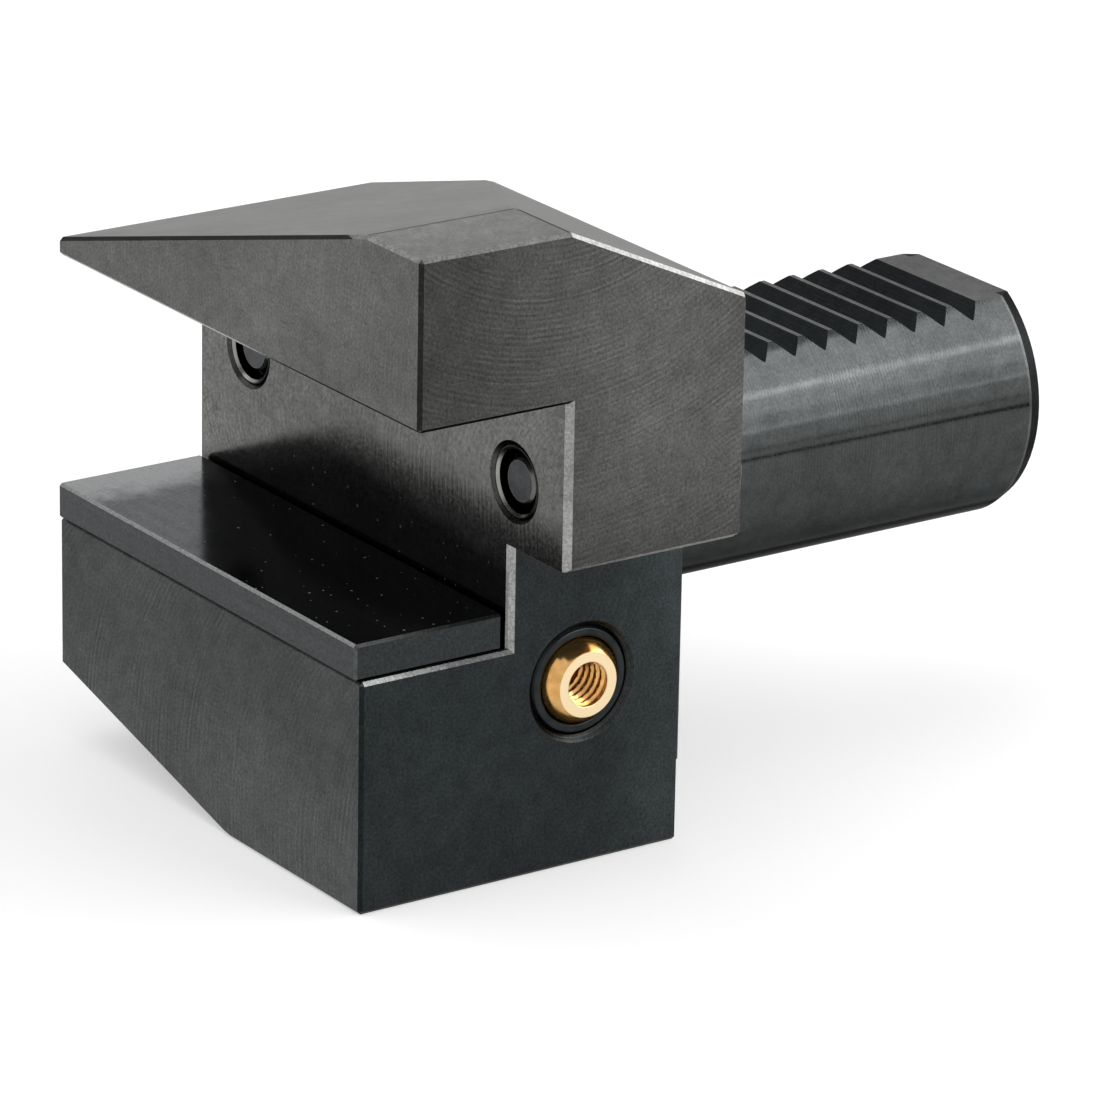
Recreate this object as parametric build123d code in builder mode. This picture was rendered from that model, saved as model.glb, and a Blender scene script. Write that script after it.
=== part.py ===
from build123d import *
from build123d.topology import SkipClean
import os
from math import radians, sqrt, tan

os.makedirs("parts", exist_ok=True)

# Radial tool holder with a cylindrical serrated shank, in millimetres.
# The origin is where the shank axis meets the contact face. X runs along the tool slot,
# Y along the shank towards the turret, Z from the clamp plate up to the tool seat.

# Shank
shank_diameter = 30
shank_length = 55
shank_lead_length = 1.5
shank_lead_depth = 0.6
flat_height = 12
flat_start = 8.5
centre_hole_diameter = 3.2
centre_hole_mouth = 6.7
centre_hole_depth = 7
centre_hole_angle = 60

# Rack of teeth across the flat of the shank
rack_pitch = 4
rack_grooves = 10
rack_first_root = 12.2
rack_depth = 1.6
rack_root_radius = 0.2
load_flank_angle = 45
back_flank_angle = 42

# Holder block
block_width = 70
block_depth = 40
flange_thickness = 22
overhang_width = 10
overhang_bottom = 2
top_height = 38
top_flat_width = 10
roof_angle = 15
rear_top_height = 28
foot_height = 35
heel_rise = 8.5
heel_run = 34
contact_face_diameter = 71.6
contact_face_relief = 0.45
outer_edge_break = 0.4
slot_edge_break = 0.7
rear_corner_break = 1.0

# Tool slot, measured from the shank axis
seat_height = 20
lower_jaw_height = 9.5

# Clamp plate
plate_thickness = 4
plate_side_clearance = 0.4
plate_front_overhang = 0.4
plate_end_setback = 0.6
plate_edge_break = 0.3

# Clamp screws, M10 with a dog point
screw_diameter = 10
screw_length = 18
screw_count = 3
screw_spacing = 20
screw_line_depth = 9
screw_thread_clearance = 0.05
screw_end_break = 0.8
dog_diameter = 6.5
dog_length = 2
dog_pocket_clearance = 0.25
dog_shoulder_gap = 0.1
socket_width = 5
socket_depth = 5
spot_face_diameter = 11.6
spot_face_margin = 0.5

# Coolant drillings, and the plugs that close their open ends
channel_diameter = 5
feed_channel_diameter = 4
inlet_offset = 25.5
inlet_height = 9
coolant_line_depth = 12.7
riser_offset = 10
plug_diameter = 8
plug_length = 5
plug_recess = 0.2
plug_mouth_chamfer = 0.4
plug_mouth_angle = 90
plug_wall = 0.6
plug_mouth_depth = 2
plug_floor = 1
plug_core_diameter = 5
plug_core_recess = 0.7
plug_core_break = 0.3

# Coolant inlets in the contact face
inlet_seal_section = 1.5
inlet_seal_diameter = 6.4
inlet_seal_squeeze = 0.3
inlet_screw_diameter = 6
inlet_screw_length = 5
inlet_screw_recess = 0.5
inlet_screw_break = 0.4
inlet_screw_socket = 3
inlet_screw_socket_depth = 2.5

# Ball nozzle in the right-hand side of the lower jaw
nozzle_height = -14.7
ball_diameter = 10
ball_centre_depth = 2.4
ball_front_flat = 3.5
ball_rear_flat = 4.3
ball_clearance = 0.05
nozzle_thread_diameter = 6
nozzle_thread_length = 6
nozzle_thread_chamfer = 0.1
nozzle_channel_diameter = 3
socket_bore_diameter = 12
socket_mouth_chamfer = 0.65
ring_length = 5.1
ring_recess = 0.4
ring_edge_break = 0.4
nozzle_seal_section = 2
nozzle_seal_diameter = 7.2

# Seal round the root of the shank; inside its groove the root is undercut for the grinding wheel
shank_seal_section = 2.5
shank_seal_squeeze = 0.4
shank_seal_groove_width = 2.7
shank_root_relief = 0.3

# Round sections of the ring seals are drawn with this many sides
seal_sides = 12

# Places worked out from the sizes above
shank_radius = shank_diameter / 2
left_side = -block_width / 2
right_side = block_width / 2
jaw_right_side = right_side - overhang_width
ridge = right_side - top_flat_width
tip_height = top_height - (ridge - left_side) * tan(radians(roof_angle))
slot_wall = -flange_thickness
front = -block_depth
heel_end = left_side + heel_run
screw_line = front + screw_line_depth
coolant_line = -coolant_line_depth
screw_middle = (left_side + jaw_right_side) / 2
screw_places = [screw_middle + (i - (screw_count - 1) / 2) * screw_spacing for i in range(screw_count)]
ball_centre = (jaw_right_side - ball_centre_depth, coolant_line, nozzle_height)
ball_radius = ball_diameter / 2
cup_radius = ball_radius + ball_clearance
nozzle_axis = Axis(ball_centre, (1, 0, 0))
nozzle_plane = Plane(origin=ball_centre, x_dir=(1, 0, 0), z_dir=(0, 0, 1))
seal_tube_radius = nozzle_seal_section / 2
seal_back = sqrt((cup_radius + seal_tube_radius) ** 2 - (nozzle_seal_diameter / 2) ** 2)
seal_seat_radius = nozzle_seal_diameter / 2 + seal_tube_radius
ring_front = ball_centre_depth - ring_recess
ring_back = ring_front - ring_length


def foot_level(x):
    # Underside of the lower jaw at x: flat under the middle, rising towards the left end
    return -foot_height + max(0, heel_end - x) * heel_rise / heel_run


# Every place where a plug closes a drilling: the plane lies in the surface and looks outwards
plug_places = {
    "right": Plane(origin=(inlet_offset, slot_wall, inlet_height), x_dir=(1, 0, 0), z_dir=(0, -1, 0)),
    "left": Plane(origin=(-inlet_offset, slot_wall, inlet_height), x_dir=(1, 0, 0), z_dir=(0, -1, 0)),
    "cross": Plane(origin=(left_side, coolant_line, inlet_height), x_dir=(0, 1, 0), z_dir=(-1, 0, 0)),
    "riser": Plane(origin=(riser_offset, coolant_line, -foot_height), x_dir=(1, 0, 0), z_dir=(0, 0, -1)),
}

# Toothed length of the shank, from the end of its round root to its chamfered end
with BuildPart() as toothed_shank:
    with BuildSketch(Plane.XZ.offset(-flat_start)):
        Circle(shank_radius)
    extrude(amount=flat_start - shank_length)
    # Slim lead-in taper round the end
    shank_end = toothed_shank.faces().sort_by(Axis.Y)[-1]
    chamfer(shank_end.edges(), shank_lead_depth, shank_lead_length, reference=shank_end)
    # Flat along the top
    with BuildSketch(Plane.YZ):
        with BuildLine():
            Polyline(
                (flat_start, flat_height),
                (shank_length + 1, flat_height),
                (shank_length + 1, shank_radius + 1),
                (flat_start, shank_radius + 1),
                close=True,
            )
        make_face()
    extrude(amount=shank_radius, both=True, mode=Mode.SUBTRACT)
    # Rack: each groove has a sloping back flank in front of its rounded root and a load flank behind it
    rack_overcut = 0.5
    flank_height = rack_depth + rack_overcut
    with BuildSketch(Plane.YZ) as grooves:
        with Locations(*[(rack_first_root + i * rack_pitch, flat_height) for i in range(rack_grooves)]):
            Polygon(
                (-flank_height / tan(radians(back_flank_angle)), rack_overcut),
                (0, -rack_depth),
                (flank_height / tan(radians(load_flank_angle)), rack_overcut),
                align=None,
            )
        fillet(grooves.vertices().group_by(Axis.Y)[0], rack_root_radius)
    extrude(amount=shank_radius, both=True, mode=Mode.SUBTRACT)
    # Centre hole in the end
    with Locations(Plane(origin=(0, shank_length, 0), x_dir=(1, 0, 0), z_dir=(0, 1, 0))):
        CounterSinkHole(
            centre_hole_diameter / 2, centre_hole_mouth / 2, centre_hole_depth, centre_hole_angle
        )

# Holder body: block, jaws and shank in one piece
with BuildPart() as body:
    with BuildSketch(Plane.XZ):
        with BuildLine():
            Polyline(
                (left_side, foot_level(left_side)),
                (heel_end, -foot_height),
                (jaw_right_side, -foot_height),
                (jaw_right_side, overhang_bottom),
                (right_side, overhang_bottom),
                (right_side, top_height),
                (ridge, top_height),
                (left_side, tip_height),
                close=True,
            )
        make_face()
    extrude(amount=block_depth)
    # Slope down from the front of the flange to the contact face
    with BuildSketch(Plane.YZ):
        with BuildLine():
            Polyline((slot_wall, top_height), (0, rear_top_height), (0, top_height), close=True)
        make_face()
    extrude(amount=block_width, both=True, mode=Mode.SUBTRACT)
    # Tool slot between the jaws
    with BuildSketch(Plane.YZ):
        with BuildLine():
            Polyline(
                (front, seat_height),
                (slot_wall, seat_height),
                (slot_wall, -lower_jaw_height),
                (front, -lower_jaw_height),
                close=True,
            )
        make_face()
    extrude(amount=block_width, both=True, mode=Mode.SUBTRACT)
    # Broken edges: wider ones on the right-hand edges of the slot wall
    wall_edges = body.edges().filter_by(Axis.Z).filter_by_position(Axis.Y, slot_wall - 0.1, slot_wall + 0.1)
    chamfer(wall_edges.filter_by_position(Axis.X, 0, right_side + 1), slot_edge_break)
    under_edges = body.edges().filter_by(Axis.Y)
    under_edge = under_edges.sort_by_distance((jaw_right_side, slot_wall / 2, overhang_bottom))[0]
    wall_reach = slot_edge_break + 0.1
    outer_edges = body.edges().filter_by_position(Axis.Y, front, slot_wall - wall_reach)
    outer_edges += body.edges().filter_by_position(Axis.Y, slot_wall + wall_reach, 0)
    chamfer([edge for edge in outer_edges if edge != under_edge], outer_edge_break)
    # Bevel behind and below the overhang
    with BuildSketch(Plane.YZ.offset(jaw_right_side)):
        with BuildLine():
            Polyline(
                (-rear_corner_break, overhang_bottom),
                (0, overhang_bottom),
                (0, overhang_bottom + rear_corner_break),
                close=True,
            )
        make_face()
    extrude(amount=overhang_width, mode=Mode.SUBTRACT)
    # The contact face is a turned disc, and the corners outside it stand back
    with BuildSketch(Plane.XZ):
        Rectangle(2 * contact_face_diameter, 2 * contact_face_diameter)
        Circle(contact_face_diameter / 2, mode=Mode.SUBTRACT)
    extrude(amount=contact_face_relief, mode=Mode.SUBTRACT)
    # Round root of the shank, and the groove for the seal that lies round it
    with BuildSketch(Plane.XZ):
        Circle(shank_radius)
    extrude(amount=-flat_start)
    with BuildSketch(Plane.XZ):
        Circle(shank_radius + shank_seal_groove_width)
        Circle(shank_radius - shank_root_relief, mode=Mode.SUBTRACT)
    extrude(amount=shank_seal_section - shank_seal_squeeze, mode=Mode.SUBTRACT)
    # Clamp screw threads up through the lower jaw, each from its own spot face
    for x in screw_places:
        spot_depth = foot_height + foot_level(x - spot_face_diameter / 2) + spot_face_margin
        with Locations(Plane(origin=(x, screw_line, -foot_height), x_dir=(1, 0, 0), z_dir=(0, 0, -1))):
            CounterBoreHole(
                screw_diameter / 2, spot_face_diameter / 2, spot_depth, foot_height - lower_jaw_height
            )
    # Coolant drillings with the counterbores for their plugs
    for place in plug_places.values():
        with Locations(place):
            CounterSinkHole(
                plug_diameter / 2, plug_diameter / 2 + plug_mouth_chamfer, plug_length, plug_mouth_angle
            )
    inlet_points = [(-inlet_offset, inlet_height), (inlet_offset, inlet_height)]
    with BuildSketch(Plane.XZ):
        with Locations(*inlet_points):
            Circle(channel_diameter / 2)
    extrude(amount=flange_thickness - plug_length / 2, mode=Mode.SUBTRACT)
    with BuildSketch(Plane.XZ):
        with Locations(*inlet_points):
            Circle(inlet_screw_diameter / 2)
    extrude(amount=inlet_screw_recess + inlet_screw_length, mode=Mode.SUBTRACT)
    with BuildSketch(Plane.XZ):
        with Locations(*inlet_points):
            Circle(inlet_seal_diameter / 2 + inlet_seal_section)
    extrude(amount=inlet_seal_section - inlet_seal_squeeze, mode=Mode.SUBTRACT)
    with BuildSketch(Plane.YZ.offset(left_side)):
        with Locations((coolant_line, inlet_height)):
            Circle(feed_channel_diameter / 2)
    extrude(amount=inlet_offset - left_side, mode=Mode.SUBTRACT)
    with BuildSketch(Plane.XY.offset(-foot_height)):
        with Locations((riser_offset, coolant_line)):
            Circle(channel_diameter / 2)
    extrude(amount=foot_height + inlet_height, mode=Mode.SUBTRACT)
    # Socket of the ball nozzle, bored from the right-hand side
    with BuildSketch(nozzle_plane):
        with BuildLine():
            Polyline(
                (riser_offset - ball_centre[0], 0),
                (riser_offset - ball_centre[0], feed_channel_diameter / 2),
                (-seal_back - seal_tube_radius, feed_channel_diameter / 2),
                (-seal_back - seal_tube_radius, seal_seat_radius),
                (ring_back, seal_seat_radius),
                (ring_back, socket_bore_diameter / 2),
                (ball_centre_depth - socket_mouth_chamfer, socket_bore_diameter / 2),
                (ball_centre_depth + 1, socket_bore_diameter / 2 + socket_mouth_chamfer + 1),
                (ball_centre_depth + 1, 0),
                close=True,
            )
        make_face()
    revolve(axis=nozzle_axis, mode=Mode.SUBTRACT)
    # The shank keeps the circle where its round root ends and the flat begins
    with SkipClean():
        add(toothed_shank.part)
body.part.label = "body"
export_step(body.part, "parts/body.step")

# Clamp plate that the screws press up against the tool
with BuildPart() as clamp_plate:
    with BuildSketch(Plane.XY.offset(-lower_jaw_height)):
        with BuildLine():
            Polyline(
                (left_side + outer_edge_break, front - plate_front_overhang),
                (jaw_right_side - plate_end_setback, front - plate_front_overhang),
                (jaw_right_side - plate_end_setback, slot_wall - plate_side_clearance),
                (left_side + outer_edge_break, slot_wall - plate_side_clearance),
                close=True,
            )
        make_face()
    extrude(amount=plate_thickness)
    chamfer(clamp_plate.edges(), plate_edge_break)
    # Pockets that the dog points of the screws stand in
    with BuildSketch(Plane.XY.offset(-lower_jaw_height)):
        with Locations(*[(x, screw_line) for x in screw_places]):
            Circle(dog_diameter / 2 + dog_pocket_clearance)
    extrude(amount=dog_length, mode=Mode.SUBTRACT)
clamp_plate.part.label = "clamp_plate"
export_step(clamp_plate.part, "parts/clamp_plate.step")

# Clamp screws, each with its dog point up in the plate and its socket facing down
shoulder_level = -lower_jaw_height - dog_shoulder_gap
screw_bottom = shoulder_level - screw_length + dog_length
for number, x in enumerate(screw_places, start=1):
    with BuildPart() as clamp_screw:
        with BuildSketch(Plane.XY.offset(screw_bottom)):
            with Locations((x, screw_line)):
                Circle(screw_diameter / 2 - screw_thread_clearance)
        extrude(amount=shoulder_level - screw_bottom)
        chamfer(clamp_screw.edges().filter_by(GeomType.CIRCLE), screw_end_break)
        with BuildSketch(Plane.XY.offset(shoulder_level)):
            with Locations((x, screw_line)):
                Circle(dog_diameter / 2)
        extrude(amount=dog_length + dog_shoulder_gap)
        with BuildSketch(Plane.XY.offset(screw_bottom)):
            with Locations((x, screw_line)):
                RegularPolygon(socket_width / 2, 6, major_radius=False)
        extrude(amount=socket_depth, mode=Mode.SUBTRACT)
    clamp_screw.part.label = f"clamp_screw_{number}"
    export_step(clamp_screw.part, f"parts/clamp_screw_{number}.step")

# Plugs: a sleeve pressed into each drilling, held open by a core pressed into the sleeve
for name, place in plug_places.items():
    with BuildPart() as plug_sleeve:
        with BuildSketch(place.offset(-plug_length)):
            Circle(plug_diameter / 2)
        extrude(amount=plug_length - plug_recess)
        with BuildSketch(place.offset(-plug_recess)):
            Circle(plug_diameter / 2 - plug_wall)
        extrude(amount=-plug_mouth_depth, mode=Mode.SUBTRACT)
        with BuildSketch(place.offset(-plug_recess)):
            Circle(plug_core_diameter / 2)
        extrude(amount=plug_floor + plug_recess - plug_length, mode=Mode.SUBTRACT)
    plug_sleeve.part.label = f"plug_sleeve_{name}"
    export_step(plug_sleeve.part, f"parts/plug_sleeve_{name}.step")

    with BuildPart() as plug_core:
        with BuildSketch(place.offset(plug_floor - plug_length)):
            Circle(plug_core_diameter / 2)
        extrude(amount=plug_length - plug_floor - plug_core_recess)
        chamfer(plug_core.edges().filter_by(GeomType.CIRCLE), plug_core_break)
    plug_core.part.label = f"plug_core_{name}"
    export_step(plug_core.part, f"parts/plug_core_{name}.step")

# Grub screw that closes the coolant inlet not in use
with BuildPart() as inlet_screw:
    with BuildSketch(Plane.XZ.offset(inlet_screw_recess)):
        with Locations((-inlet_offset, inlet_height)):
            Circle(inlet_screw_diameter / 2)
    extrude(amount=inlet_screw_length)
    chamfer(inlet_screw.edges().filter_by(GeomType.CIRCLE), inlet_screw_break)
    with BuildSketch(Plane.XZ.offset(inlet_screw_recess)):
        with Locations((-inlet_offset, inlet_height)):
            RegularPolygon(inlet_screw_socket / 2, 6, major_radius=False)
    extrude(amount=inlet_screw_socket_depth, mode=Mode.SUBTRACT)
inlet_screw.part.label = "inlet_screw"
export_step(inlet_screw.part, "parts/inlet_screw.step")

# Seals lying in the contact face
with BuildPart() as inlet_seal:
    seal_middle = inlet_seal_squeeze - inlet_seal_section / 2
    with BuildSketch(Plane.XY.offset(inlet_height)):
        with Locations((inlet_offset + inlet_seal_diameter / 2 + inlet_seal_section / 2, seal_middle)):
            RegularPolygon(inlet_seal_section / 2, seal_sides)
    revolve(axis=Axis((inlet_offset, 0, inlet_height), (0, 1, 0)))
inlet_seal.part.label = "inlet_seal"
export_step(inlet_seal.part, "parts/inlet_seal.step")

with BuildPart() as shank_seal:
    seal_middle = shank_seal_squeeze - shank_seal_section / 2
    with BuildSketch(Plane.XY):
        with Locations((shank_radius + shank_seal_section / 2, seal_middle)):
            RegularPolygon(shank_seal_section / 2, seal_sides)
    revolve(axis=Axis.Y)
shank_seal.part.label = "shank_seal"
export_step(shank_seal.part, "parts/shank_seal.step")

# Ball nozzle: a truncated ball, threaded in front and drilled through behind
front_flat_radius = sqrt(ball_radius**2 - ball_front_flat**2)
rear_flat_radius = sqrt(ball_radius**2 - ball_rear_flat**2)
thread_radius = nozzle_thread_diameter / 2
thread_end = ball_front_flat - nozzle_thread_length
channel_radius = nozzle_channel_diameter / 2
with BuildPart() as nozzle_ball:
    with BuildSketch(nozzle_plane):
        with BuildLine():
            Polyline(
                (-ball_rear_flat, rear_flat_radius),
                (-ball_rear_flat, channel_radius),
                (thread_end - (thread_radius - channel_radius), channel_radius),
                (thread_end, thread_radius),
                (ball_front_flat - nozzle_thread_chamfer, thread_radius),
                (ball_front_flat, thread_radius + nozzle_thread_chamfer),
                (ball_front_flat, front_flat_radius),
            )
            ThreePointArc(
                (ball_front_flat, front_flat_radius), (0, ball_radius), (-ball_rear_flat, rear_flat_radius)
            )
        make_face()
    revolve(axis=nozzle_axis)
nozzle_ball.part.label = "nozzle_ball"
export_step(nozzle_ball.part, "parts/nozzle_ball.step")

# Ring pressed in over the ball: cylindrical behind the ball's equator, cupped in front of it
lip_radius = sqrt(cup_radius**2 - ring_front**2)
half_front = ring_front / 2
with BuildPart() as nozzle_ring:
    with BuildSketch(nozzle_plane):
        with BuildLine():
            Polyline(
                (0, cup_radius),
                (ring_back, cup_radius),
                (ring_back, socket_bore_diameter / 2),
                (ring_front - ring_edge_break, socket_bore_diameter / 2),
                (ring_front, socket_bore_diameter / 2 - ring_edge_break),
                (ring_front, lip_radius),
            )
            ThreePointArc(
                (ring_front, lip_radius), (half_front, sqrt(cup_radius**2 - half_front**2)), (0, cup_radius)
            )
        make_face()
    revolve(axis=nozzle_axis)
nozzle_ring.part.label = "nozzle_ring"
export_step(nozzle_ring.part, "parts/nozzle_ring.step")

# Seal behind the ball
with BuildPart() as nozzle_seal:
    with BuildSketch(nozzle_plane):
        with Locations((-seal_back, nozzle_seal_diameter / 2)):
            RegularPolygon(seal_tube_radius, seal_sides)
    revolve(axis=nozzle_axis)
nozzle_seal.part.label = "nozzle_seal"
export_step(nozzle_seal.part, "parts/nozzle_seal.step")
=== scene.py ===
from math import cos, pi, radians, sin, sqrt, tau

import bpy
import numpy as np
from mathutils import Matrix, Vector


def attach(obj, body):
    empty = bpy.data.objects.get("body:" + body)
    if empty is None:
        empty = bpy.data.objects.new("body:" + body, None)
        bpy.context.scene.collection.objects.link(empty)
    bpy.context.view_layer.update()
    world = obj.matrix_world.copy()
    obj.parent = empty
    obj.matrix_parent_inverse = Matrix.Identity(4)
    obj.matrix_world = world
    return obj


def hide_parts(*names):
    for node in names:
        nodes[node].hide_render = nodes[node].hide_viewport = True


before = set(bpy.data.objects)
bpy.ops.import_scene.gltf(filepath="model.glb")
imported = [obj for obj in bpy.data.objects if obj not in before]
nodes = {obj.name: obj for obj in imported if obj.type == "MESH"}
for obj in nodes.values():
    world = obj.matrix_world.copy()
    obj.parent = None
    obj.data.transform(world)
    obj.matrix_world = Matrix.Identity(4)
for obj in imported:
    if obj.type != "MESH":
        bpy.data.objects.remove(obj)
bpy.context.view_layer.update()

mm = 0.001
print("frame loaded:", len(nodes), "solids")


def linearColour(hexText):
    # sRGB to linear light: below 0.04045 divide by 12.92, above it ((v + 0.055) / 1.055) to the power 2.4
    srgb = np.array([int(hexText[i:i + 2], 16) for i in (1, 3, 5)]) / 255
    linear = np.where(srgb <= 0.04045, srgb / 12.92, ((srgb + 0.055) / 1.055) ** 2.4)
    return (float(linear[0]), float(linear[1]), float(linear[2]), 1.0)


def setInputs(tree, node, inputs):
    # an input given as a socket, or as a node for its result, is linked; any other is a plain value
    for name, value in inputs.items():
        if isinstance(value, bpy.types.Node):
            value = next(output for output in value.outputs if output.enabled)
        if isinstance(value, bpy.types.NodeSocket):
            tree.links.new(value, node.inputs[name])
        else:
            node.inputs[name].default_value = value


def addNode(tree, kind, inputs=None, **settings):
    node = tree.nodes.new("ShaderNode" + kind)
    for name, value in settings.items():
        setattr(node, name, value)
    setInputs(tree, node, inputs or {})
    return node


def newMaterial(name, shaderValues):
    material = bpy.data.materials.new(name)
    material.use_nodes = True
    tree = material.node_tree
    shader = tree.nodes["Principled BSDF"]
    setInputs(tree, shader, shaderValues)
    return material, tree, shader


def placeOn(tree):
    # the texture coordinates, and the place on the object in mm
    place = addNode(tree, "TexCoord").outputs
    return place, addNode(tree, "VectorMath", {0: place["Object"], "Scale": 1000}, operation="SCALE")


def facesWay(tree, place, direction):
    # 1 where the surface faces this way within about 21 degrees, 0 elsewhere
    turned = addNode(tree, "VectorMath", {0: place["Normal"], 1: direction}, operation="DOT_PRODUCT")
    return addNode(tree, "Math", {0: turned, 1: 0.93}, operation="GREATER_THAN")


def seenItself(tree):
    # 1 for what the camera, a mirror or glass sees, 0 for the light that falls on things
    rays = addNode(tree, "LightPath").outputs
    seen = addNode(tree, "Math", {0: rays["Is Camera Ray"], 1: rays["Is Glossy Ray"]}, operation="MAXIMUM")
    return addNode(tree, "Math", {0: seen, 1: rays["Is Transmission Ray"]}, operation="MAXIMUM")


def addObject(name, data):
    added = bpy.data.objects.new(name, data)
    bpy.context.scene.collection.objects.link(added)
    return added


def addMesh(name, points, faces):
    mesh = bpy.data.meshes.new(name)
    mesh.from_pydata(points, [], faces)
    return addObject(name, mesh)


# camera at the photograph's angle

cameraView = {
    "azimuth": 55.284,      # degrees round from the front towards the right
    "elevation": 19.735,
    "roll": 1.075,
    "distance": 731.08,     # mm from the origin
    "aside": 0.02,          # mm to the right
    "up": -9.645,           # mm upwards
    "lens": 224.198,        # mm on a 36 mm wide picture
}

azimuth, elevation, roll = (radians(cameraView[k]) for k in ("azimuth", "elevation", "roll"))
back = Vector((sin(azimuth) * cos(elevation), -cos(azimuth) * cos(elevation), sin(elevation)))
levelRight = Vector((0, 0, 1)).cross(back).normalized()
levelUp = back.cross(levelRight)
right = levelRight * cos(roll) + levelUp * sin(roll)
up = levelUp * cos(roll) - levelRight * sin(roll)
eye = (right * cameraView["aside"] + up * cameraView["up"] + back * cameraView["distance"]) * mm

cameraData = bpy.data.cameras.new("camera")
cameraData.lens = cameraView["lens"]
cameraData.sensor_width = 36
cameraData.clip_start = 0.05
cameraData.clip_end = 50
camera = addObject("camera", cameraData)
camera.matrix_world = Matrix.Translation(eye) @ Matrix((right, up, back)).transposed().to_4x4()
bpy.context.scene.camera = camera
bpy.context.scene.view_settings.view_transform = "Standard"
print("camera placed")

# places on the holder, in mm
slotWall = -22.0            # along Y
screwLine = -31.0           # along Y, through the clamp screws
nozzleCentre = (22.6, -12.7, -14.7)
plugMouth = (25.5, slotWall, 9)


# studio: white surroundings, pale floor, soft boxes

studio = {
    "fill": 0.55,           # light that the surroundings give; what is seen or mirrored of them is white
    "floorLevel": -35.02,   # mm, just under the foot
    "floorHalf": 4000,      # mm
    "floorColour": "#cbcbcb",
    "floorGlow": 0.44,      # brings the lit floor up to white, and leaves its shadow
    "boxes": {
        # name: middle, point it faces, width, height (mm), brightness
        "boxRight": ((334, 398, 525), (0, 0, 525), 950, 350, 2.2),
        "boxRightEdge": ((334, 398, 328), (0, 0, 328), 950, 44, 5.0),
        "boxRightMiddle": ((334, 398, 243), (0, 0, 243), 950, 126, 2.2),
        "boxRightLow": ((334, 398, 142), (0, 0, 142), 950, 76, 1.3),
        "boxRightLine": ((334, 398, 93), (0, 0, 93), 950, 22, 2.1),
        "boxRightFoot": ((334, 398, 31), (0, 0, 31), 950, 102, 0.6),
        "boxBehind": ((-770, 540, 360), (0, 0, 0), 500, 260, 1.6),
        "boxTop": ((-300, -400, 1100), (0, 0, 0), 1100, 1100, 1.6),
    },
    # cards on the floor, seen only in reflections: the black one draws the dark line along the shank,
    # the grey one keeps the shank's lower edge from shining white
    "cards": {
        # name: middle, direction of the length, length, width (mm), colour
        "blackCard": ((184, 154), (-0.853, 0.523), 130, 44, "#060606"),
        "greyCard": ((-27, 60), (0, 1), 76, 48, "#7a7a7a"),
    },
}

world = bpy.data.worlds.new("studio")
bpy.context.scene.world = world
world.use_nodes = True
tree = world.node_tree
tree.nodes.clear()
strength = addNode(tree, "MapRange", {"Value": seenItself(tree), "To Min": studio["fill"], "To Max": 1.0})
sky = addNode(tree, "Background", {"Color": (1, 1, 1, 1), "Strength": strength})
addNode(tree, "OutputWorld", {"Surface": sky})

# floor: a level grid, height constant
floorSteps = np.linspace(-studio["floorHalf"], studio["floorHalf"], 5) * mm
floorX, floorY = np.meshgrid(floorSteps, floorSteps, indexing="ij")
floorPoints = np.stack([floorX, floorY, np.full_like(floorX, studio["floorLevel"] * mm)],
                       axis=-1).reshape(-1, 3)
cells = np.arange(16).reshape(4, 4) + np.arange(4)[:, None]
floorFaces = np.stack([cells, cells + 5, cells + 6, cells + 1], axis=-1).reshape(-1, 4)
floor = addMesh("floor", floorPoints.tolist(), floorFaces.tolist())

paper, tree, shader = newMaterial("mattPaper", {})
tree.nodes.remove(shader)
glow = addNode(tree, "Math", {0: seenItself(tree), 1: studio["floorGlow"]}, operation="MULTIPLY")
shade = addNode(tree, "BsdfDiffuse", {"Color": linearColour(studio["floorColour"])})
light = addNode(tree, "Emission", {"Color": (1, 1, 1, 1), "Strength": glow})
both = addNode(tree, "AddShader", {0: shade, 1: light})
setInputs(tree, tree.nodes["Material Output"], {"Surface": both})
floor.data.materials.append(paper)

# each card: a level grid of two by two points, its middle plus and minus half its length and width
for name, (middle, along, length, width, colour) in studio["cards"].items():
    along, across = np.array(along), np.array([-along[1], along[0]])
    side = np.array([[-1, -1], [1, -1], [1, 1], [-1, 1]]) / 2
    flat = np.array(middle) + side[:, :1] * length * along + side[:, 1:] * width * across
    cardPoints = np.column_stack([flat, np.full(4, studio["floorLevel"] + 0.5)]) * mm
    card = addMesh(name, cardPoints.tolist(), [(0, 1, 2, 3)])
    felt = {"Base Color": linearColour(colour), "Roughness": 1.0}
    card.data.materials.append(newMaterial(name + "Felt", felt)[0])
    card.visible_camera = card.visible_diffuse = card.visible_shadow = False

for name, (middle, aim, width, height, brightness) in studio["boxes"].items():
    lamp = bpy.data.lights.new(name, "AREA")
    lamp.shape = "RECTANGLE"
    lamp.size, lamp.size_y = width * mm, height * mm
    lamp.energy = pi * width * mm * height * mm * brightness   # watts that give this brightness
    lampObject = addObject(name, lamp)
    lampObject.rotation_euler = (Vector(middle) - Vector(aim)).to_track_quat("Z", "Y").to_euler()
    lampObject.location = Vector(middle) * mm
    lampObject.visible_camera = False
print("studio lit")


# holder body: case-hardened steel, milled and ground all over, then blackened
# Dark satin metal; each face keeps the marks of the tool that cut it. Each face's tone is set to how
# bright it looks, so dark faces and edge lines carry painted shade and bright bevels painted highlights.

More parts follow.
